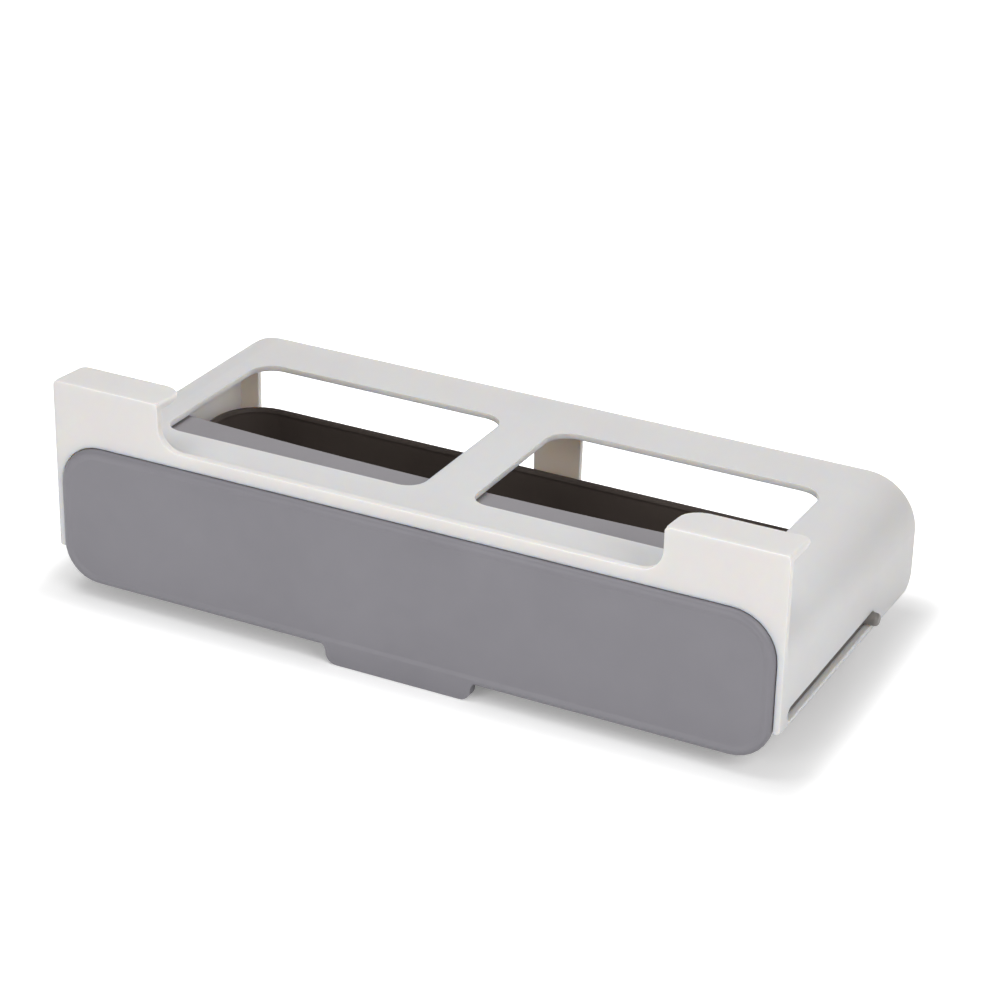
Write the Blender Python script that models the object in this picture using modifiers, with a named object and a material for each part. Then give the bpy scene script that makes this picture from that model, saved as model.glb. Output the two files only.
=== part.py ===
"""Under-shelf spice rack with a pull-out, drop-down drawer.

A white frame hooks over the front edge of a shelf board and hangs under it. A grey drawer
with a full-width fascia slides forward on two pins and then tips down about them.

Axes: X to the right, Y to the back, Z up. The shape is drawn from one datum: the middle of the
frame, at the front face of its front wall and at the level of the plate that bears on the board.
"""
import math

import bmesh
import bpy
from mathutils import Matrix, Vector

MM = 0.001

# Frame: plate, two side walls and their bends
WIDTH = 300.0 * MM
DEPTH = 130.6 * MM
SIDE_HEIGHT = 43.6 * MM
WALL = 2.4 * MM
SHOULDER_R = 20.5 * MM
REAR_FOOT_R = 7.0 * MM
FRONT_FOOT_R = 1.0 * MM

# Front wall: a low lip in the middle, a tall ear at each end
FRONT_T = 2.8 * MM
LIP_TOP = 7.0 * MM
EAR_TOP = 25.5 * MM
EAR_WIDTH = 46.7 * MM
EAR_FILLET_R = 9.5 * MM
EAR_INNER_CORNER_R = 1.8 * MM
EAR_OUTER_CORNER_R = 1.6 * MM
FRONT_EDGE_R = 1.2 * MM
FRONT_SIDE_EDGE_R = 0.5 * MM

# Flanges that reach back over the board. They are level below and get thinner towards their tips.
FLANGE_T = 3.0 * MM
FLANGE_REACH = 20.2 * MM
FLANGE_TAPER = 1.3 * MM
FLANGE_INNER_R = 9.0 * MM
FLANGE_OUTER_R = 3.0 * MM
FLANGE_EDGE_R = 1.0 * MM

# Web that ties the front wall to the plate
WEB_T = 2.2 * MM
WEB_TOP = 3.5 * MM

# Recess for the drawer's fascia
RECESS_TOP = 1.5 * MM
FASCIA_GAP = 0.35 * MM

# Plate: a middle bar between two openings, and the margins around them
BAR_WIDTH = 21.1 * MM
MARGIN_SIDE = 27.4 * MM
MARGIN_FRONT = 31.5 * MM
MARGIN_BACK = 25.2 * MM
OPENING_FRONT_R = 8.0 * MM
OPENING_BACK_R = 10.0 * MM

# Rear posts
CENTRE_POST_FOOT_NARROWING = 0.7 * MM
SIDE_POST_WIDTH = 8.5 * MM

# Pins and the slots that they run in. The slots fall a little towards the front.
PIN_R = 2.55 * MM
PIN_GAP = 0.3 * MM
PIN_TO_BACK = 42.6 * MM
PIN_TO_FRONT_AT_FULL_TRAVEL = 10.5 * MM
PIN_PROUD = 3.1 * MM
PIN_DOME_R = 1.4 * MM
SLOT_SILL = 2.35 * MM
SLOT_FALL = math.radians(1.0)
SLOT_END_GAP = 0.3 * MM
COLLAR_WIDTH = 1.8 * MM
COLLAR_GAP = 0.7 * MM
SPIGOT_R = 2.3 * MM
SPIGOT_GAP = 0.2 * MM
SPIGOT_LENGTH = 3.4 * MM
SPIGOT_EASE = 0.4 * MM

# Front panel
PANEL_PROUD = 2.0 * MM
PANEL_RECESSED = 2.3 * MM
PANEL_BELOW_FRAME = 12.2 * MM
PANEL_TOP_R = 17.5 * MM
PANEL_BOTTOM_R = 15.0 * MM
PANEL_EDGE_R = 2.0 * MM
PANEL_BACK_EDGE = 0.5 * MM
RIM_WIDTH = 4.4 * MM
RIM_RISE = 0.55 * MM

# Finger tab under the panel, level with the panel's rim
TAB_HEIGHT = 6.7 * MM
TAB_HALF_WIDTH = 26.0 * MM
TAB_CORNER_R = 4.4 * MM
TAB_EDGE_R = 0.9 * MM
TAB_ROOT = 0.2 * MM

# Drawer tray
TRAY_SIDE_GAP = 5.0 * MM
TRAY_REAR_GAP = 8.2 * MM
TRAY_ABOVE_PANEL_FOOT = 1.4 * MM
TRAY_HEIGHT = 28.4 * MM
TRAY_WALL = 2.0 * MM
TRAY_BACK_R = 20.0 * MM
TRAY_FRONT_R = 6.0 * MM
TRAY_DRAFT = 0.5 * MM
TRAY_FOOT_R = 3.0 * MM
RIM_BEAD_R = 1.5 * MM
JOIN_GAP = 0.3 * MM

# Pocket cover behind the panel
COVER_WALL = 2.0 * MM
COVER_GAP = 1.2 * MM
COVER_HEIGHT = 26.4 * MM
COVER_REACH = 48.3 * MM
COVER_BOW = 6.2 * MM

ARC_STEPS = 8
BEND_STEPS = 12
ROUND_STEPS = 24
STEP_STEPS = 5

# How far joined shapes run into each other, and how far cutters run past
OVERLAP = 0.8 * MM
CUT_MARGIN = 6.0 * MM
# The small step between faces that look flush, so that no Boolean meets two faces in one plane
SINK = 0.05 * MM
# How near counts as level
LEVEL = 0.1 * MM

# Sizes that follow from the ones above
HALF_WIDTH = WIDTH / 2
INNER_HALF = HALF_WIDTH - WALL
INNER_R = SHOULDER_R - WALL
EAR_INNER = HALF_WIDTH - EAR_WIDTH
OPENING_INNER = BAR_WIDTH / 2
OPENING_OUTER = HALF_WIDTH - MARGIN_SIDE
OPENING_BACK = DEPTH - MARGIN_BACK
RECESS_TOP_R = PANEL_TOP_R + FASCIA_GAP
WEB_BACK = FRONT_T + WEB_T
SLOT_R = PIN_R + PIN_GAP
PIN_Y = DEPTH - PIN_TO_BACK
PIN_DROP = SIDE_HEIGHT - SLOT_SILL - SLOT_R
TRAVEL = (PIN_Y - PIN_TO_FRONT_AT_FULL_TRAVEL) / math.cos(SLOT_FALL)
PANEL_HALF_WIDTH = INNER_HALF - FASCIA_GAP
PANEL_TOP = RECESS_TOP - FASCIA_GAP
PANEL_BOTTOM = SIDE_HEIGHT + PANEL_BELOW_FRAME
BEHIND_PANEL = PANEL_RECESSED + JOIN_GAP
TAB_BOTTOM = PANEL_BOTTOM + TAB_HEIGHT
TAB_FLANK_R = TAB_HEIGHT - TAB_CORNER_R + PANEL_EDGE_R
TRAY_HALF_WIDTH = INNER_HALF - TRAY_SIDE_GAP
TRAY_BACK = DEPTH - WALL - TRAY_REAR_GAP
TRAY_BOTTOM = PANEL_BOTTOM - TRAY_ABOVE_PANEL_FOOT
TRAY_RIM = TRAY_BOTTOM - TRAY_HEIGHT
COLLAR_R = PIN_R + COLLAR_WIDTH
COVER_TOP = -WALL - COVER_GAP

# The datum stands above the floor by the tab's foot, and ahead of the middle of the whole depth
DATUM = Vector((0.0, (PANEL_PROUD - DEPTH) / 2, TAB_BOTTOM))
PIN_AXIS = Vector((0.0, PIN_Y, -PIN_DROP))

WHITE_PLASTIC = ("white_plastic", "E4E4E2", 0.42)
GREY_PLASTIC = ("grey_plastic", "86858A", 0.48)
DARK_GREY_PLASTIC = ("dark_grey_plastic", "6E6863", 0.45)


def clear_scene():
    for old in list(bpy.data.objects):
        bpy.data.objects.remove(old, do_unlink=True)


def new_collection(name, helper=False):
    collection = bpy.data.collections.new(name)
    collection.hide_render = helper
    bpy.context.scene.collection.children.link(collection)
    return collection


def linear(value):
    return value / 12.92 if value <= 0.04045 else ((value + 0.055) / 1.055) ** 2.4


def plastic(name, hex_colour, roughness):
    material = bpy.data.materials.get(name) or bpy.data.materials.new(name)
    material.use_nodes = True
    red, green, blue = (linear(int(hex_colour[i : i + 2], 16) / 255) for i in (0, 2, 4))
    shader = material.node_tree.nodes["Principled BSDF"]
    shader.inputs["Base Color"].default_value = (red, green, blue, 1.0)
    shader.inputs["Roughness"].default_value = roughness
    shader.inputs["Metallic"].default_value = 0.0
    material.diffuse_color = (red, green, blue, 1.0)
    return material


def arc(centre, radius, start, end, steps=ARC_STEPS):
    """Points of an arc in a plane, from one angle in degrees to another."""
    points = []
    for i in range(steps + 1):
        angle = math.radians(start + (end - start) * i / steps)
        points.append((centre[0] + radius * math.cos(angle), centre[1] + radius * math.sin(angle)))
    return points


def rounded_box(left, right, low, high, low_r, high_r):
    """A rectangle, counter-clockwise, with one corner radius below and one above."""
    return (
        arc((right - low_r, low + low_r), low_r, -90, 0)
        + arc((right - high_r, high - high_r), high_r, 0, 90)
        + arc((left + high_r, high - high_r), high_r, 90, 180)
        + arc((left + low_r, low + low_r), low_r, 180, 270)
    )


def mirrored(right_side):
    """A whole outline from its right half, which runs from the bottom up."""
    return right_side + [(-x, z) for x, z in reversed(right_side)]


# Planes that an outline is drawn in. Each extrudes along the third axis.
FACING_FRONT = Matrix(((1, 0, 0), (0, 0, -1), (0, 1, 0))).to_4x4()
FACING_SIDE = Matrix(((0, 0, 1), (1, 0, 0), (0, 1, 0))).to_4x4()
FACING_UP = Matrix.Identity(4)


def outline_mesh(name, points, plane, near, far):
    """A closed mesh: a filled outline, extruded between two places on its third axis."""
    curve = bpy.data.curves.new(name, "CURVE")
    curve.dimensions = "2D"
    curve.fill_mode = "BOTH"
    curve.extrude = (far - near) / 2
    spline = curve.splines.new("POLY")
    spline.points.add(len(points) - 1)
    for point, (x, y) in zip(spline.points, points):
        point.co = (x, y, 0.0, 1.0)
    spline.use_cyclic_u = True
    drawn = bpy.data.objects.new(name + "_outline", curve)
    bpy.context.scene.collection.objects.link(drawn)
    bpy.context.view_layer.update()
    evaluated = drawn.evaluated_get(bpy.context.evaluated_depsgraph_get())
    mesh = bpy.data.meshes.new_from_object(evaluated)
    mesh.name = name
    bpy.data.objects.remove(drawn, do_unlink=True)
    bpy.data.curves.remove(curve)

    form = bmesh.new()
    form.from_mesh(mesh)
    bmesh.ops.remove_doubles(form, verts=form.verts, dist=1e-7)
    bmesh.ops.dissolve_limit(form, angle_limit=0.001, verts=form.verts, edges=form.edges)
    axis = plane.to_3x3() @ Vector((0.0, 0.0, 1.0))
    middle = (near + far) / 2
    shift = Vector([abs(component) * middle for component in axis])
    bmesh.ops.transform(form, matrix=Matrix.Translation(shift) @ plane, verts=form.verts)
    bmesh.ops.recalc_face_normals(form, faces=form.faces)
    form.to_mesh(mesh)
    form.free()
    return mesh


def place(name, mesh, collection, location=None, material=None):
    placed = bpy.data.objects.new(name, mesh)
    placed.location = DATUM if location is None else location
    if material:
        placed.data.materials.append(plastic(*material))
    if collection.hide_render:
        placed.hide_render = True
        placed.display_type = "WIRE"
    shade(placed.data)
    collection.objects.link(placed)
    return placed


def boolean(target, other, operation):
    step = target.modifiers.new(operation.lower() + "_" + other.name, "BOOLEAN")
    step.operation = operation
    step.object = other
    step.solver = "EXACT"


def bevel(target, width, segments=3, weighted=False, angle=40):
    step = target.modifiers.new("edge_round", "BEVEL")
    step.width = width
    step.segments = segments
    step.limit_method = "WEIGHT" if weighted else "ANGLE"
    step.angle_limit = math.radians(angle)
    step.use_clamp_overlap = True
    return step


def weigh_edges(mesh, weight_of):
    """Sets each edge's bevel weight from its two ends."""
    weights = mesh.attributes.new("bevel_weight_edge", "FLOAT", "EDGE")
    for edge in mesh.edges:
        ends = [mesh.vertices[i].co for i in edge.vertices]
        weights.data[edge.index].value = weight_of(*ends)


def shade(mesh, angle=35):
    """Smooth shading that keeps edges sharper than the angle."""
    mesh.shade_smooth()
    mesh.set_sharp_from_angle(angle=math.radians(angle))


def even_shading(target):
    """Last in the stack: flat faces keep their own normals next to rounded edges."""
    step = target.modifiers.new("even_shading", "WEIGHTED_NORMAL")
    step.keep_sharp = True


# The frame's pieces, joined by Booleans


def bent_sheet_mesh(name, half, top, radius, foot, near, far):
    """An open surface: up one side, over the top and down the other, with a bend at each side."""
    right = [(half, foot)] + arc((half - radius, top - radius), radius, 0, 90, BEND_STEPS)
    profile = mirrored(right)
    form = bmesh.new()
    rows = [[form.verts.new((x, y, z)) for x, z in profile] for y in (near, far)]
    for i in range(len(profile) - 1):
        form.faces.new((rows[0][i], rows[0][i + 1], rows[1][i + 1], rows[1][i]))
    bmesh.ops.recalc_face_normals(form, faces=form.faces)
    crown = max(form.faces, key=lambda face: face.calc_center_median().z)
    if crown.normal.z < 0:
        bmesh.ops.reverse_faces(form, faces=form.faces)
    mesh = bpy.data.meshes.new(name)
    form.to_mesh(mesh)
    form.free()
    return mesh


def mirror(mesh):
    """Turns a right-hand mesh into its left-hand twin."""
    mesh.transform(Matrix.Scale(-1.0, 4, (1.0, 0.0, 0.0)))
    mesh.flip_normals()


def thicken(target, thickness):
    """Adds a wall inward from an outer surface."""
    step = target.modifiers.new("wall", "SOLIDIFY")
    step.thickness = thickness
    step.offset = -1.0
    step.use_even_offset = True


def front_wall_mesh():
    foot, inner, outer = FRONT_FOOT_R, EAR_INNER_CORNER_R, EAR_OUTER_CORNER_R
    right = (
        arc((HALF_WIDTH - foot, foot - SIDE_HEIGHT), foot, -90, 0, 3)
        + arc((HALF_WIDTH - outer, EAR_TOP - outer), outer, 0, 90, 4)
        + arc((EAR_INNER + inner, EAR_TOP - inner), inner, 90, 180, 4)
        + arc((EAR_INNER - EAR_FILLET_R, LIP_TOP + EAR_FILLET_R), EAR_FILLET_R, 0, -90)
    )
    mesh = outline_mesh("front_wall", mirrored(right), FACING_FRONT, 0.0, FRONT_T)

    def weight(a, b):
        if abs(a.y - b.y) > LEVEL:
            return 0.0
        front = a.y < FRONT_T / 2
        low, high = sorted((a.z, b.z))
        outside = min(abs(a.x), abs(b.x)) > HALF_WIDTH - outer
        if low > LIP_TOP - LEVEL and not (outside and low < EAR_TOP - outer - LEVEL):
            lip = high < LIP_TOP + EAR_FILLET_R + LEVEL
            return 1.0 if front or lip else 0.0
        return FRONT_SIDE_EDGE_R / FRONT_EDGE_R if front and outside and high > 0.0 else 0.0

    weigh_edges(mesh, weight)
    return mesh


def front_wall(helpers):
    wall = place("frame_front_wall", front_wall_mesh(), helpers)
    bevel(wall, FRONT_EDGE_R, 4, weighted=True)
    return wall


def web(helpers):
    """Closes the step between the front wall and the plate, behind the fascia's upper edge."""
    half = HALF_WIDTH - 2 * SINK
    right = (
        [(INNER_HALF, -SHOULDER_R - OVERLAP), (half, -SHOULDER_R - OVERLAP)]
        + arc((half - SHOULDER_R, WEB_TOP - SHOULDER_R), SHOULDER_R, 0, 90, BEND_STEPS)
    )
    under = SINK - WALL
    inner = arc((INNER_HALF - INNER_R, under - INNER_R), INNER_R, 0, 90, BEND_STEPS)
    outline = right + [(-x, z) for x, z in reversed(right)]
    outline += [(-x, z) for x, z in inner] + list(reversed(inner))
    mesh = outline_mesh("web", outline, FACING_FRONT, FRONT_T - OVERLAP + SINK, WEB_BACK)
    return place("frame_web", mesh, helpers)


def flange(helpers, side):
    """A tongue on top of an ear. Its top falls towards its tip, and its upper edges are rounded."""
    near, far = FRONT_T - OVERLAP, FLANGE_REACH
    start, end = EAR_INNER + SINK, HALF_WIDTH - SINK
    inner, outer = FLANGE_INNER_R, FLANGE_OUTER_R
    outline = (
        [(start, 0.0), (end, 0.0)]
        + arc((end - outer, far - near - outer), outer, 0, 90)
        + arc((start + inner, far - near - inner), inner, 90, 180)
    )
    mesh = outline_mesh("flange", outline, FACING_UP, -FLANGE_T, 0.0)

    def weight(a, b):
        upper = min(a.z, b.z) > -FLANGE_T / 2
        return 1.0 if upper and max(a.y, b.y) > LEVEL else 0.0

    weigh_edges(mesh, weight)
    for vertex in mesh.vertices:
        if vertex.co.z > -FLANGE_T / 2:
            vertex.co.z -= FLANGE_TAPER * vertex.co.y / (far - near)
    mesh.transform(Matrix.Translation((0.0, near, EAR_TOP - SINK)))
    if side < 0:
        mirror(mesh)
    placed = place("frame_flange_" + ("left" if side < 0 else "right"), mesh, helpers)
    bevel(placed, FLANGE_EDGE_R, 3, weighted=True)
    return placed


def centre_post(helpers):
    """Hangs from the plate in line with the middle bar and narrows to its foot."""
    top = BAR_WIDTH / 2
    foot = top - CENTRE_POST_FOOT_NARROWING
    ease = FRONT_FOOT_R
    right = [(foot - ease, -SIDE_HEIGHT), (foot, ease - SIDE_HEIGHT), (top, -WALL / 2)]
    mesh = outline_mesh("centre_post", mirrored(right), FACING_FRONT, DEPTH - WALL, DEPTH - SINK)
    return place("frame_centre_post", mesh, helpers)


def side_post(helpers, side):
    """Turns a side wall inward along its rear edge."""
    inner = INNER_HALF - SIDE_POST_WIDTH
    step = WALL / 2
    bend = arc((HALF_WIDTH - SHOULDER_R, -SHOULDER_R), SHOULDER_R - step, 0, 60, 6)
    foot = 2 * SINK - SIDE_HEIGHT
    outline = [(inner, foot), (HALF_WIDTH - step, foot)] + bend
    outline += [(inner, bend[-1][1])]
    mesh = outline_mesh("side_post", outline, FACING_FRONT, DEPTH - WALL, DEPTH - SINK)
    if side < 0:
        mirror(mesh)
    return place("frame_side_post_" + ("left" if side < 0 else "right"), mesh, helpers)


def fascia_recess(helpers):
    half, r, top = INNER_HALF + SINK, RECESS_TOP_R, RECESS_TOP
    right = [(half, -SIDE_HEIGHT - CUT_MARGIN)] + arc((half - r, top - r), r, 0, 90)
    mesh = outline_mesh("recess", mirrored(right), FACING_FRONT, -CUT_MARGIN, FRONT_T + SINK)
    return place("cut_fascia_recess", mesh, helpers)


def plate_opening(helpers, side):
    near, far = OPENING_INNER, OPENING_OUTER
    left, right = (near, far) if side > 0 else (-far, -near)
    outline = rounded_box(
        left, right, MARGIN_FRONT, OPENING_BACK, OPENING_FRONT_R, OPENING_BACK_R
    )
    mesh = outline_mesh("opening", outline, FACING_UP, -WALL - CUT_MARGIN, CUT_MARGIN)
    return place("cut_opening_" + ("left" if side < 0 else "right"), mesh, helpers)


def pin_slots(helpers):
    """One long cutter that makes the slot in both side walls."""
    closed = Vector((PIN_Y, -PIN_DROP))
    backward = Vector((math.cos(SLOT_FALL), math.sin(SLOT_FALL)))
    rear = closed + backward * SLOT_END_GAP
    front = closed - backward * (TRAVEL + SLOT_END_GAP)
    turn = math.degrees(SLOT_FALL)
    outline = arc(rear, SLOT_R, turn - 90, turn + 90, 10)
    outline += arc(front, SLOT_R, turn + 90, turn + 270, 10)
    reach = HALF_WIDTH + CUT_MARGIN
    mesh = outline_mesh("slots", outline, FACING_SIDE, -reach, reach)
    return place("cut_pin_slots", mesh, helpers)


def rear_foot(helpers, side):
    r = REAR_FOOT_R
    outline = (
        [(DEPTH - r, -SIDE_HEIGHT - CUT_MARGIN), (DEPTH + CUT_MARGIN, -SIDE_HEIGHT - CUT_MARGIN)]
        + [(DEPTH + CUT_MARGIN, r - SIDE_HEIGHT)]
        + arc((DEPTH - r, r - SIDE_HEIGHT), r, 0, -90)
    )
    near, far = INNER_HALF - SIDE_POST_WIDTH - CUT_MARGIN, HALF_WIDTH + CUT_MARGIN
    if side < 0:
        near, far = -far, -near
    mesh = outline_mesh("rear_foot", outline, FACING_SIDE, near, far)
    return place("cut_rear_foot_" + ("left" if side < 0 else "right"), mesh, helpers)


def make_frame(rack, helpers):
    sheet = bent_sheet_mesh(
        "frame", HALF_WIDTH - SINK, 0.0, SHOULDER_R, SINK - SIDE_HEIGHT, FRONT_T - OVERLAP, DEPTH
    )
    frame = place("frame", sheet, rack, material=WHITE_PLASTIC)
    thicken(frame, WALL)
    for piece in (web(helpers), front_wall(helpers), centre_post(helpers)):
        boolean(frame, piece, "UNION")
    for side in (-1, 1):
        boolean(frame, flange(helpers, side), "UNION")
        boolean(frame, side_post(helpers, side), "UNION")
    boolean(frame, fascia_recess(helpers), "DIFFERENCE")
    boolean(frame, pin_slots(helpers), "DIFFERENCE")
    for side in (-1, 1):
        boolean(frame, plate_opening(helpers, side), "DIFFERENCE")
        boolean(frame, rear_foot(helpers, side), "DIFFERENCE")
    even_shading(frame)
    return frame


# The drawer's pieces. Each has its origin on the pins' axis, so the drawer tips about it.


def from_pins(mesh):
    mesh.transform(Matrix.Translation(-PIN_AXIS))
    return mesh


def panel_mesh():
    """A rim profile swept around the panel: a rounded edge, then a soft step down to the field."""
    front, back, r = -PANEL_PROUD, PANEL_RECESSED, PANEL_EDGE_R
    profile = [(PANEL_BACK_EDGE, back), (0.0, back - PANEL_BACK_EDGE)]
    profile += arc((r, front + r), r, 180, 270, 5)
    for i in range(1, STEP_STEPS + 1):
        share = i / STEP_STEPS
        fall = RIM_RISE * (1 - math.cos(math.pi * share)) / 2
        profile.append((r + (RIM_WIDTH - r) * share, front + fall))
    form = bmesh.new()
    rings = []
    for inset, y in profile:
        half = PANEL_HALF_WIDTH - inset
        ring = rounded_box(
            -half, half, inset - PANEL_BOTTOM, PANEL_TOP - inset,
            PANEL_BOTTOM_R - inset, PANEL_TOP_R - inset,
        )
        rings.append([form.verts.new((x, y, z)) for x, z in ring])
    for ring, following in zip(rings, rings[1:]):
        for i in range(len(ring)):
            j = (i + 1) % len(ring)
            form.faces.new((ring[i], ring[j], following[j], following[i]))
    form.faces.new(rings[0])
    form.faces.new(rings[-1])
    bmesh.ops.recalc_face_normals(form, faces=form.faces)
    mesh = bpy.data.meshes.new("front_panel")
    form.to_mesh(mesh)
    form.free()
    return mesh


def make_panel(rack, helpers, drawer):
    mesh = from_pins(panel_mesh())
    panel = place("front_panel", mesh, rack, PIN_AXIS + DATUM, GREY_PLASTIC)
    boolean(panel, finger_tab(helpers), "UNION")
    even_shading(panel)
    parent(panel, drawer)
    return panel


def finger_tab(helpers):
    """The pull under the panel, whose flanks sweep out into the panel's rounded lower edge."""
    corner, flank = TAB_CORNER_R, TAB_FLANK_R
    side = TAB_HALF_WIDTH + corner
    crest = PANEL_EDGE_R - PANEL_BOTTOM
    right = (
        arc((TAB_HALF_WIDTH, corner - TAB_BOTTOM), corner, -90, 0, 6)
        + arc((side + flank, corner - TAB_BOTTOM), flank, 180, 90, 8)[1:]
        + [(side + flank, crest + TAB_ROOT)]
    )
    mesh = outline_mesh(
        "finger_tab",
        mirrored(right),
        FACING_FRONT,
        SINK - PANEL_PROUD,
        PANEL_RECESSED - SINK,
    )

    def weight(a, b):
        level = abs(a.y - b.y) < LEVEL
        return 1.0 if level and max(a.z, b.z) < corner - TAB_BOTTOM + LEVEL else 0.0

    weigh_edges(mesh, weight)
    tab = place("panel_finger_tab", from_pins(mesh), helpers, PIN_AXIS + DATUM)
    bevel(tab, TAB_EDGE_R, 3, weighted=True)
    return tab


def tray_outline(inset):
    """The tray's outer edge seen from above, drawn in by an inset."""
    half, back = TRAY_HALF_WIDTH - inset, TRAY_BACK - inset
    front = BEHIND_PANEL + inset
    return rounded_box(
        -half, half, front, back, TRAY_FRONT_R - inset, TRAY_BACK_R - inset
    )


def tray_shell_mesh():
    """The outer surface: a floor and drafted walls, open at the top."""
    bead_inset = RIM_BEAD_R - TRAY_WALL / 2
    form = bmesh.new()
    low, high = (
        [form.verts.new((x, y, z)) for x, y in tray_outline(inset)]
        for inset, z in (
            (bead_inset + TRAY_DRAFT, -TRAY_BOTTOM),
            (bead_inset, -TRAY_RIM - RIM_BEAD_R),
        )
    )
    form.faces.new(list(reversed(low)))
    for i in range(len(low)):
        j = (i + 1) % len(low)
        form.faces.new((low[i], low[j], high[j], high[i]))
    form.normal_update()
    mesh = bpy.data.meshes.new("drawer_tray")
    form.to_mesh(mesh)
    form.free()

    def weight(a, b):
        return 1.0 if max(a.z, b.z) < LEVEL - TRAY_BOTTOM else 0.0

    weigh_edges(mesh, weight)
    return mesh


def rim_bead(helpers):
    curve = bpy.data.curves.new("rim_bead", "CURVE")
    curve.dimensions = "3D"
    curve.bevel_depth = RIM_BEAD_R
    curve.bevel_resolution = 2
    points = tray_outline(RIM_BEAD_R)
    spline = curve.splines.new("POLY")
    spline.points.add(len(points) - 1)
    for point, (x, y) in zip(spline.points, points):
        point.co = (x, y, -TRAY_RIM - RIM_BEAD_R, 1.0)
    spline.use_cyclic_u = True
    drawn = bpy.data.objects.new("rim_bead_line", curve)
    bpy.context.scene.collection.objects.link(drawn)
    bpy.context.view_layer.update()
    evaluated = drawn.evaluated_get(bpy.context.evaluated_depsgraph_get())
    mesh = bpy.data.meshes.new_from_object(evaluated)
    bpy.data.objects.remove(drawn, do_unlink=True)
    bpy.data.curves.remove(curve)
    return place("tray_rim_bead", from_pins(mesh), helpers, PIN_AXIS + DATUM)


def turned_mesh(name, x_start, x_end, radius):
    """A round bar along X, for a hole."""
    form = bmesh.new()
    length = x_end - x_start
    bmesh.ops.create_cone(
        form,
        cap_ends=True,
        segments=ROUND_STEPS,
        radius1=radius,
        radius2=radius,
        depth=length,
        matrix=Matrix.Translation((x_start + length / 2, 0.0, 0.0))
        @ Matrix.Rotation(math.pi / 2, 4, "Y"),
    )
    mesh = bpy.data.meshes.new(name)
    form.to_mesh(mesh)
    form.free()
    return mesh


def spigot_holes(helpers):
    reach = HALF_WIDTH
    mesh = turned_mesh("spigot_holes", -reach, reach, SPIGOT_R + SPIGOT_GAP)
    return place("cut_spigot_holes", mesh, helpers, PIN_AXIS + DATUM)


def make_tray(rack, helpers, drawer):
    mesh = from_pins(tray_shell_mesh())
    tray = place("drawer_tray", mesh, rack, PIN_AXIS + DATUM, DARK_GREY_PLASTIC)
    bevel(tray, TRAY_FOOT_R, 4, weighted=True)
    thicken(tray, TRAY_WALL)
    boolean(tray, rim_bead(helpers), "UNION")
    boolean(tray, spigot_holes(helpers), "DIFFERENCE")
    even_shading(tray)
    parent(tray, drawer)
    return tray


def cover_rear_cut(helpers):
    """Everything behind the cover's bowed rear edge."""
    half = HALF_WIDTH + CUT_MARGIN
    edge = []
    for i in range(25):
        x = half - 2 * half * i / 24
        edge.append((x, COVER_REACH + COVER_BOW * (x / INNER_HALF) ** 2))
    far = COVER_REACH + COVER_BOW + 4 * CUT_MARGIN
    outline = [(-half, far), (half, far)] + edge
    outline.reverse()
    low = COVER_TOP - COVER_HEIGHT - CUT_MARGIN
    mesh = outline_mesh("cover_rear", outline, FACING_UP, low, CUT_MARGIN)
    return place("cut_cover_rear", from_pins(mesh), helpers, PIN_AXIS + DATUM)


def make_cover(rack, helpers, drawer):
    half = INNER_HALF - COVER_GAP
    far = COVER_REACH + COVER_BOW + CUT_MARGIN
    mesh = bent_sheet_mesh(
        "pocket_cover", half, COVER_TOP, INNER_R - COVER_GAP, COVER_TOP - COVER_HEIGHT,
        BEHIND_PANEL, far,
    )
    cover = place("pocket_cover", from_pins(mesh), rack, PIN_AXIS + DATUM, GREY_PLASTIC)
    thicken(cover, COVER_WALL)
    boolean(cover, cover_rear_cut(helpers), "DIFFERENCE")
    even_shading(cover)
    parent(cover, drawer)
    return cover


def make_pin(rack, carriage, side):
    """A turned pin: spigot in the tray's wall, collar beside it, and shank out through the slot."""
    collar_start = TRAY_HALF_WIDTH - JOIN_GAP
    collar_end = INNER_HALF - COLLAR_GAP
    tip = HALF_WIDTH + PIN_PROUD
    ease, dome = SPIGOT_EASE, PIN_DOME_R
    profile = [
        (collar_start - SPIGOT_LENGTH, 0.0),
        (collar_start - SPIGOT_LENGTH, SPIGOT_R - ease),
        (collar_start - SPIGOT_LENGTH + ease, SPIGOT_R),
        (collar_start, SPIGOT_R),
        (collar_start, COLLAR_R),
        (collar_end, COLLAR_R),
        (collar_end, PIN_R),
        (tip - dome, PIN_R),
    ]
    for angle in (30, 60, 90):
        turn = math.radians(angle)
        profile.append((tip - dome + dome * math.sin(turn), PIN_R - dome + dome * math.cos(turn)))
    profile.append((tip, 0.0))
    profile.reverse()

    form = bmesh.new()
    points = [form.verts.new((r, 0.0, x)) for x, r in profile]
    for a, b in zip(points, points[1:]):
        form.edges.new((a, b))
    mesh = bpy.data.meshes.new("pivot_pin")
    form.to_mesh(mesh)
    form.free()
    name = "pivot_pin_left" if side < 0 else "pivot_pin_right"
    pin = place(name, mesh, rack, PIN_AXIS + DATUM, GREY_PLASTIC)
    pin.rotation_euler = (0.0, math.radians(90 * side), 0.0)
    turn = pin.modifiers.new("turn", "SCREW")
    turn.steps = turn.render_steps = ROUND_STEPS
    turn.use_merge_vertices = True
    turn.merge_threshold = 0.00001
    even_shading(pin)
    parent(pin, carriage)
    return pin


def joint_empty(name, collection, parent_empty=None):
    empty = bpy.data.objects.new(name, None)
    empty.empty_display_size = 0.02
    empty.location = PIN_AXIS + DATUM
    collection.objects.link(empty)
    if parent_empty:
        parent(empty, parent_empty)
    return empty


def parent(child, holder):
    """Parents without a move: both origins lie on the pins' axis."""
    child.parent = holder
    child.location = (0.0, 0.0, 0.0)


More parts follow.
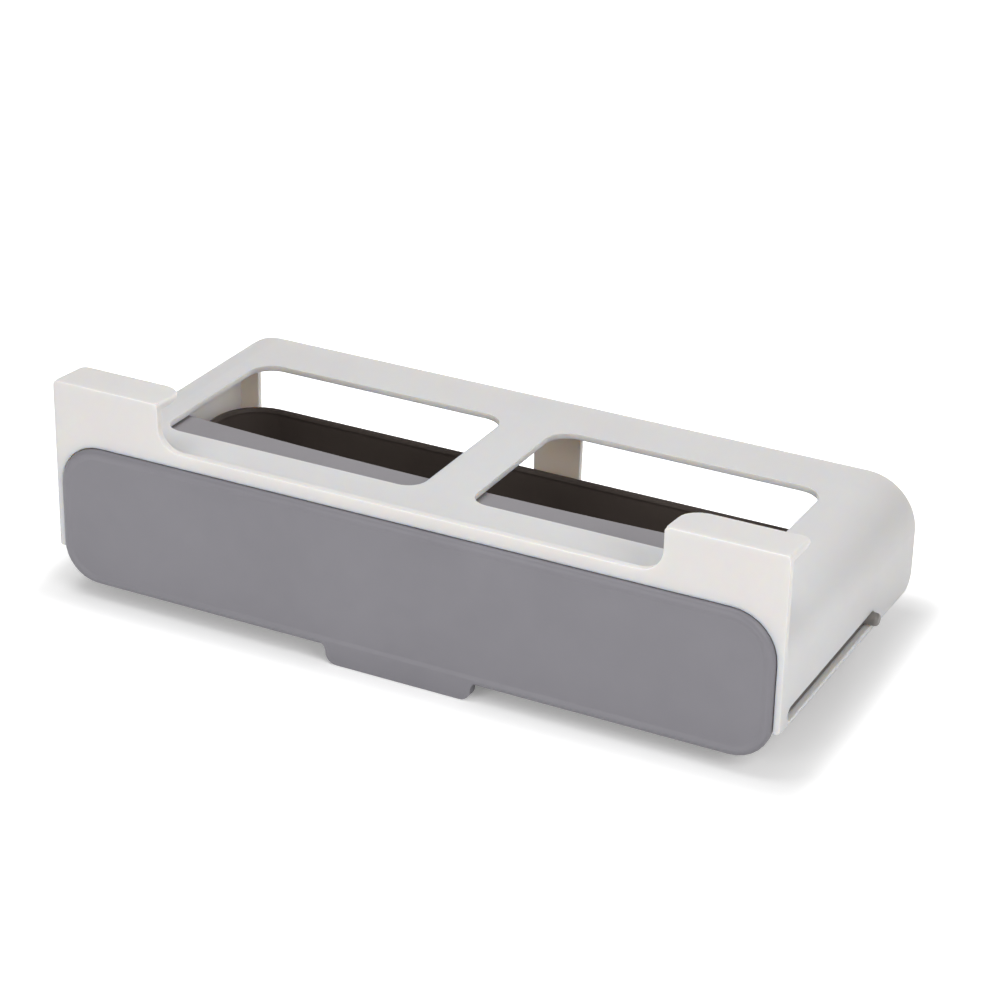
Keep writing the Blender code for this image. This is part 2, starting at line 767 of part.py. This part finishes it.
def main():
    clear_scene()
    rack = new_collection("under_shelf_spice_rack")
    helpers = new_collection("cutters_and_joined_pieces", helper=True)
    make_frame(rack, helpers)
    carriage = joint_empty("carriage_on_slots", rack)
    drawer = joint_empty("drawer_on_pins", rack, carriage)
    make_tray(rack, helpers, drawer)
    make_cover(rack, helpers, drawer)
    make_panel(rack, helpers, drawer)
    for side in (-1, 1):
        make_pin(rack, carriage, side)


main()
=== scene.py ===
"""The under-shelf rack's visible model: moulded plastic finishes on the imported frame,
a white floor, soft studio light and the photograph's camera."""

import math

import bmesh
import bpy
from mathutils import Matrix, Vector


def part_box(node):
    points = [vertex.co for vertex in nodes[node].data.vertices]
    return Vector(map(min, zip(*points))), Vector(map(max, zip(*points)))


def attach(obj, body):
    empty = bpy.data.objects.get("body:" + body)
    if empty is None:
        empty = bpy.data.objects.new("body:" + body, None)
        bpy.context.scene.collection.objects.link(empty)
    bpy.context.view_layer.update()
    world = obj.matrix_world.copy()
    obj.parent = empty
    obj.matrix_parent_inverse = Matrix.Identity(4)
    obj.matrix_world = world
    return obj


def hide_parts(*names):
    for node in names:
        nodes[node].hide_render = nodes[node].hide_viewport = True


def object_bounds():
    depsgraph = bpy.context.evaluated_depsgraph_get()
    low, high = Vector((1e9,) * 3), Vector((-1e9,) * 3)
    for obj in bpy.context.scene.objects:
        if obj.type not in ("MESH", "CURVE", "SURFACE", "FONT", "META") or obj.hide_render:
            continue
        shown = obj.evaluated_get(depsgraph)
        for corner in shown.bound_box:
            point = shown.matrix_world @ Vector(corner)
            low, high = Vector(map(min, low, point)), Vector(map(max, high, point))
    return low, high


MM = 0.001

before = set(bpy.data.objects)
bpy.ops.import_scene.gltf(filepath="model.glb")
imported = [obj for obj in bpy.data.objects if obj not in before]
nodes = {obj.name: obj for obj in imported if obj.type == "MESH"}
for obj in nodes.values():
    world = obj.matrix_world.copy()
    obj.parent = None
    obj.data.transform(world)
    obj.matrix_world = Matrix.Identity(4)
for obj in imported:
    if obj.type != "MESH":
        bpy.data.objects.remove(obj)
cad_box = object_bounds()

# Camera, fitted to the photograph: pixels for a 1000-pixel frame, degrees and metres
PICTURE_PX = 1000.0
FOCAL_PX = 2941.24
AZIMUTH, ELEVATION, ROLL = math.radians(26.90), math.radians(25.58), math.radians(1.23)
DISTANCE = 1.10723
TARGET = Vector((0.00965, -0.0043, 0.0508))
SENSOR_MM = 36.0
NEAREST_SEEN = 10 * MM

# How a solid's flat facets join again, at what angle its edges shade sharp and are rounded, and
# how far they are rounded
WELD = 0.002 * MM
FLAT = math.radians(0.3)
SHARP = math.radians(30)
ROUNDED = math.radians(40)
EDGE_STEPS = 2
FRAME_EDGE = 0.13 * MM
DRAWER_EDGE = 0.25 * MM
PIN_EDGE = 0.0

# Patterns that every moulding shows: pigment drifts over some 4 cm, gloss turns cloudy in
# patches of about 1 cm, and the melt leaves waves 2 to 3 cm apart. Each has its size, its number
# of finer layers and how much each of them counts. The grain's size comes with the material.
PIGMENT_DRIFT = (38 * MM, 3.0, 0.60)
GLOSS_PATCHES = (9 * MM, 4.0, 0.65)
FLOW_WAVES = (26 * MM, 1.0, 0.50)
GRAIN_LAYERS = (2.0, 0.70)
FLOW_DEPTH = 0.02 * MM
FLOW_STRENGTH, GRAIN_STRENGTH = 0.5, 0.35
# Blender's noise rarely leaves this middle part of its range
NOISE_LOW, NOISE_HIGH = 0.3, 0.7
# Typical of these plastics, with a weaker reflection for the dullest
PLASTIC_IOR = 1.49
DULL_SPECULAR, USUAL_SPECULAR = 0.2, 0.5
# How far light spreads inside white plastic, and how much of it in red, green and blue
LIGHT_SPREAD = 3.5 * MM
LIGHT_SPREAD_RGB = (1.0, 0.80, 0.55)

# The floor leans back so that it touches the finger tab in front and the tray behind.
# It lights the object less than the camera sees, and is lifted to pure white with distance.
FLOOR_SIZE = 6.0
FLOOR_LEAN = math.radians(4.04)
FLOOR_SETBACK, FLOOR_GAP = 2.0 * MM, 0.02 * MM
FLOOR_COLOUR = 0.90
FLOOR_BOUNCE = 0.75
NEAR_LIFT, FAR_LIFT = 0.22, 1.0
LIFT_START, LIFT_END = 0.002, 0.03

# Light: the world's strength, the point that the softboxes face, and for each softbox its
# place, its size, its watts and whether gloss shows it
WORLD_LIGHT, WORLD_SEEN = 0.27, 1.0
LIT_POINT = Vector((0.0, 0.0, 0.04))
SOFTBOXES = {
    "top_softbox": ((-0.13, -0.05, 0.68), 0.5, 2.2, True),
    "right_softbox": ((0.43, -0.26, 0.30), 0.25, 0.94, True),
    "front_softbox": ((-0.15, -0.58, 0.15), 0.3, 1.12, True),
    "back_softbox": ((0.05, 0.75, 0.13), 0.24, 2.8, False),
}
WHITE_LIGHT = (1.0, 1.0, 1.0, 1.0)

# A colour mix's sockets for its factor and two colours, and for its result
MIX_FACTOR, MIX_FIRST, MIX_SECOND = 0, 6, 7
MIX_COLOUR = 2


def linear(hex_colour):
    """A written colour, such as "E4E4E2", as linear red, green, blue and alpha."""
    channels = [int(hex_colour[i : i + 2], 16) / 255 for i in (0, 2, 4)]
    return (*[c / 12.92 if c <= 0.04045 else ((c + 0.055) / 1.055) ** 2.4 for c in channels], 1.0)


def add_node(tree, kind, settings=None, inputs=None):
    """Adds a node with its settings, and sets each input or links it to the socket given."""
    node = tree.nodes.new(kind)
    for name, value in (settings or {}).items():
        setattr(node, name, value)
    for socket, value in (inputs or {}).items():
        if isinstance(value, bpy.types.NodeSocket):
            tree.links.new(value, node.inputs[socket])
        else:
            node.inputs[socket].default_value = value
    return node


def moulded_plastic(name, colours, roughness, grain, grain_depth, glow=0.0, gloss=USUAL_SPECULAR):
    """Plastic injected into an etched mould: a fine grain over flow waves, cloudy gloss and a
    faint drift between two close colours. Glow is how much of the light sinks in."""
    material = bpy.data.materials.new(name)
    material.use_nodes = True
    tree = material.node_tree
    tree.nodes.clear()
    place = add_node(tree, "ShaderNodeTexCoord").outputs["Object"]
    pigment, patches, waves, pits = (
        add_node(
            tree,
            "ShaderNodeTexNoise",
            inputs={"Vector": place, "Scale": 1.0 / size, "Detail": layers, "Roughness": share},
        ).outputs["Fac"]
        for size, layers, share in (
            PIGMENT_DRIFT, GLOSS_PATCHES, FLOW_WAVES, (grain, *GRAIN_LAYERS)
        )
    )

    drift = add_node(
        tree,
        "ShaderNodeMapRange",
        inputs={"Value": pigment, "From Min": NOISE_LOW, "From Max": NOISE_HIGH},
    )
    first, second = (linear(colour) for colour in colours)
    colour = add_node(
        tree,
        "ShaderNodeMix",
        {"data_type": "RGBA"},
        {MIX_FACTOR: drift.outputs["Result"], MIX_FIRST: first, MIX_SECOND: second},
    )

    smoothest, roughest = roughness
    cloudy = add_node(
        tree,
        "ShaderNodeMapRange",
        inputs={
            "Value": patches,
            "From Min": NOISE_LOW,
            "From Max": NOISE_HIGH,
            "To Min": smoothest,
            "To Max": roughest,
        },
    )

    flow = add_node(
        tree,
        "ShaderNodeBump",
        inputs={"Height": waves, "Strength": FLOW_STRENGTH, "Distance": FLOW_DEPTH},
    )
    etched = add_node(
        tree,
        "ShaderNodeBump",
        inputs={
            "Height": pits,
            "Strength": GRAIN_STRENGTH,
            "Distance": grain_depth,
            "Normal": flow.outputs["Normal"],
        },
    )

    plastic = add_node(
        tree,
        "ShaderNodeBsdfPrincipled",
        inputs={
            "Base Color": colour.outputs[MIX_COLOUR],
            "Roughness": cloudy.outputs["Result"],
            "Normal": etched.outputs["Normal"],
            "IOR": PLASTIC_IOR,
            "Specular IOR Level": gloss,
            "Subsurface Weight": glow,
            "Subsurface Scale": LIGHT_SPREAD,
            "Subsurface Radius": LIGHT_SPREAD_RGB,
        },
    )
    add_node(tree, "ShaderNodeOutputMaterial", inputs={"Surface": plastic.outputs["BSDF"]})
    return material


def moulding(name, body, material, edge):
    """A node's own solid with its flat facets joined, its edges rounded and its bends smooth."""
    form = bmesh.new()
    form.from_mesh(nodes[name].data)
    bmesh.ops.remove_doubles(form, verts=form.verts, dist=WELD)
    bmesh.ops.dissolve_limit(form, angle_limit=FLAT, verts=form.verts, edges=form.edges)
    mesh = bpy.data.meshes.new(name + "_moulding")
    form.to_mesh(mesh)
    form.free()
    mesh.shade_smooth()
    mesh.set_sharp_from_angle(angle=SHARP)
    mesh.materials.append(material)
    piece = bpy.data.objects.new(name + "_moulding", mesh)
    bpy.context.scene.collection.objects.link(piece)
    if edge:
        rounding = piece.modifiers.new("edge", "BEVEL")
        rounding.width = edge
        rounding.segments = EDGE_STEPS
        rounding.limit_method = "ANGLE"
        rounding.angle_limit = ROUNDED
        rounding.use_clamp_overlap = True
    even = piece.modifiers.new("even_shading", "WEIGHTED_NORMAL")
    even.keep_sharp = True
    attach(piece, body)
    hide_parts(name)


def add_floor():
    """A sheet of white paper under the rack. Its lift is a light that only the camera and gloss
    see, low round the object, where the shadow lies, and rising to pure white."""
    bpy.ops.mesh.primitive_grid_add(x_subdivisions=2, y_subdivisions=2, size=FLOOR_SIZE)
    floor = bpy.context.object
    floor.name = "studio_floor"
    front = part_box("front_panel")[0]
    floor.rotation_euler = (FLOOR_LEAN, 0.0, 0.0)
    floor.location = (0.0, front.y + FLOOR_SETBACK, front.z - FLOOR_GAP)

    paper = bpy.data.materials.new("studio_floor_paper")
    paper.use_nodes = True
    tree = paper.node_tree
    tree.nodes.clear()
    ray = add_node(tree, "ShaderNodeLightPath")
    direct = add_node(
        tree,
        "ShaderNodeMath",
        {"operation": "MAXIMUM"},
        {0: ray.outputs["Is Camera Ray"], 1: ray.outputs["Is Glossy Ray"]},
    )
    bounced, shown = ((grey, grey, grey, 1.0) for grey in (FLOOR_BOUNCE, FLOOR_COLOUR))
    colour = add_node(
        tree,
        "ShaderNodeMix",
        {"data_type": "RGBA"},
        {MIX_FACTOR: direct.outputs[0], MIX_FIRST: bounced, MIX_SECOND: shown},
    )
    sheet = add_node(
        tree, "ShaderNodeBsdfDiffuse", inputs={"Color": colour.outputs[MIX_COLOUR]}
    )

    # How far a point lies outside the object's rectangle, in the floor's own coordinates
    low, high = cad_box
    middle = (0.0, (low[1] + high[1]) / 2 - floor.location.y, 0.0)
    half = (high[0], (high[1] - low[1]) / 2, 0.0)
    away = add_node(tree, "ShaderNodeTexCoord").outputs["Object"]
    for operation, value in (
        ("SUBTRACT", middle),
        ("ABSOLUTE", None),
        ("SUBTRACT", half),
        ("MAXIMUM", (0.0, 0.0, 0.0)),
    ):
        inputs = {0: away, 1: value} if value else {0: away}
        step = add_node(tree, "ShaderNodeVectorMath", {"operation": operation}, inputs)
        away = step.outputs["Vector"]
    distance = add_node(tree, "ShaderNodeVectorMath", {"operation": "LENGTH"}, {0: away})
    rise = add_node(
        tree,
        "ShaderNodeMapRange",
        {"interpolation_type": "SMOOTHSTEP"},
        {
            "Value": distance.outputs["Value"],
            "From Min": LIFT_START,
            "From Max": LIFT_END,
            "To Min": NEAR_LIFT,
            "To Max": FAR_LIFT,
        },
    )
    seen_rise = add_node(
        tree,
        "ShaderNodeMath",
        {"operation": "MULTIPLY"},
        {0: direct.outputs[0], 1: rise.outputs["Result"]},
    )
    lift = add_node(tree, "ShaderNodeEmission", inputs={"Strength": seen_rise.outputs[0]})
    both = add_node(
        tree, "ShaderNodeAddShader", inputs={0: sheet.outputs[0], 1: lift.outputs[0]}
    )
    add_node(tree, "ShaderNodeOutputMaterial", inputs={"Surface": both.outputs[0]})
    floor.data.materials.append(paper)


def add_world():
    """White to the camera, softer as a light."""
    world = bpy.data.worlds.new("studio_world")
    bpy.context.scene.world = world
    world.use_nodes = True
    tree = world.node_tree
    tree.nodes.clear()
    light, seen = (
        add_node(
            tree, "ShaderNodeBackground", inputs={"Color": WHITE_LIGHT, "Strength": strength}
        )
        for strength in (WORLD_LIGHT, WORLD_SEEN)
    )
    ray = add_node(tree, "ShaderNodeLightPath")
    either = add_node(
        tree,
        "ShaderNodeMixShader",
        inputs={0: ray.outputs["Is Camera Ray"], 1: light.outputs[0], 2: seen.outputs[0]},
    )
    add_node(tree, "ShaderNodeOutputWorld", inputs={"Surface": either.outputs[0]})


def add_softbox(name, place, size, watts, mirrored):
    """A square softbox that faces the object, and that gloss shows only where mirrored."""
    light = bpy.data.lights.new(name, "AREA")
    light.shape = "SQUARE"
    light.size = size
    light.energy = watts
    lamp = bpy.data.objects.new(name, light)
    lamp.location = place
    lamp.visible_camera = False
    lamp.visible_glossy = mirrored
    aim = LIT_POINT - Vector(place)
    lamp.rotation_mode = "QUATERNION"
    lamp.rotation_quaternion = aim.to_track_quat("-Z", "Y")
    bpy.context.scene.collection.objects.link(lamp)


def add_camera():
    """The photograph's camera, which stands in front and to the right, rolled a little."""
    data = bpy.data.cameras.new("photo_camera")
    data.sensor_width = SENSOR_MM
    data.lens = FOCAL_PX / PICTURE_PX * SENSOR_MM
    data.clip_start = NEAREST_SEEN
    camera = bpy.data.objects.new("photo_camera", data)
    bpy.context.scene.collection.objects.link(camera)
    back = Vector(
        (
            math.sin(AZIMUTH) * math.cos(ELEVATION),
            -math.cos(AZIMUTH) * math.cos(ELEVATION),
            math.sin(ELEVATION),
        )
    )
    right = (-back).cross(Vector((0.0, 0.0, 1.0))).normalized()
    up = right.cross(-back)
    c, s = math.cos(ROLL), math.sin(ROLL)
    turned_right, turned_up = c * right + s * up, c * up - s * right
    matrix = Matrix((turned_right, turned_up, back)).transposed().to_4x4()
    matrix.translation = TARGET + back * DISTANCE
    camera.matrix_world = matrix
    bpy.context.scene.camera = camera


add_camera()

# A moulded grain is really 0.1 to 0.2 mm across. A pixel of the picture spans 0.38 mm here, so
# each grain below is drawn at 0.35 to 0.5 mm, or it wouldn't show.

# ABS from a lightly etched mould: a clean white skin with a broad satin sheen. Light sinks into
# its thin walls and comes out a little warmer, so the shaded sides stay soft.
white = moulded_plastic(
    "white_satin_moulded_abs", ("E5E4E4", "E3E1E1"), (0.40, 0.50), 0.45 * MM, 0.015 * MM, glow=1.0
)

# ABS from a more deeply etched mould: an even, cool mid grey that hardly shines, with a soft
# gleam only along the rounded lip.
panel_grey = moulded_plastic(
    "grey_matt_moulded_abs", ("838187", "7F7D83"), (0.44, 0.54), 0.40 * MM, 0.02 * MM
)

# Polypropylene straight from the mould, a touch waxy. Its grey is paler than the panel's: painted
# light, standing for the light from above that falls on the ledge.
cover_lit_grey = moulded_plastic(
    "light_grey_polypropylene_painted_light", ("9B989C", "979498"), (0.40, 0.50), 0.45 * MM, 0.02 * MM
)

# Acetal, dense and slippery, which shines a little more than the parts that it carries.
pin_grey = moulded_plastic(
    "grey_moulded_acetal", ("87837F", "837F7B"), (0.34, 0.44), 0.35 * MM, 0.01 * MM
)

# Polypropylene with a coarse matt grain: a deep, warm dark grey. It is partly the tray's own
# colour and partly painted shade, dark enough to stand for the shade between its walls and behind
# the side slot.
tray_dark_and_shade = moulded_plastic(
    "dark_grey_polypropylene_and_painted_shade",
    ("665D57", "615853"),
    (0.38, 0.50),
    0.50 * MM,
    0.02 * MM,
    gloss=DULL_SPECULAR,
)

moulding("frame", "hook_frame", white, FRAME_EDGE)
moulding("drawer_tray", "drawer", tray_dark_and_shade, DRAWER_EDGE)
moulding("pocket_cover", "drawer", cover_lit_grey, DRAWER_EDGE)
moulding("front_panel", "drawer", panel_grey, DRAWER_EDGE)
moulding("pivot_pin_left", "carriage", pin_grey, PIN_EDGE)
moulding("pivot_pin_right", "carriage", pin_grey, PIN_EDGE)

add_floor()
add_world()
for softbox, (place, size, watts, mirrored) in SOFTBOXES.items():
    add_softbox(softbox, place, size, watts, mirrored)

scene = bpy.context.scene
scene.view_settings.view_transform = "Standard"
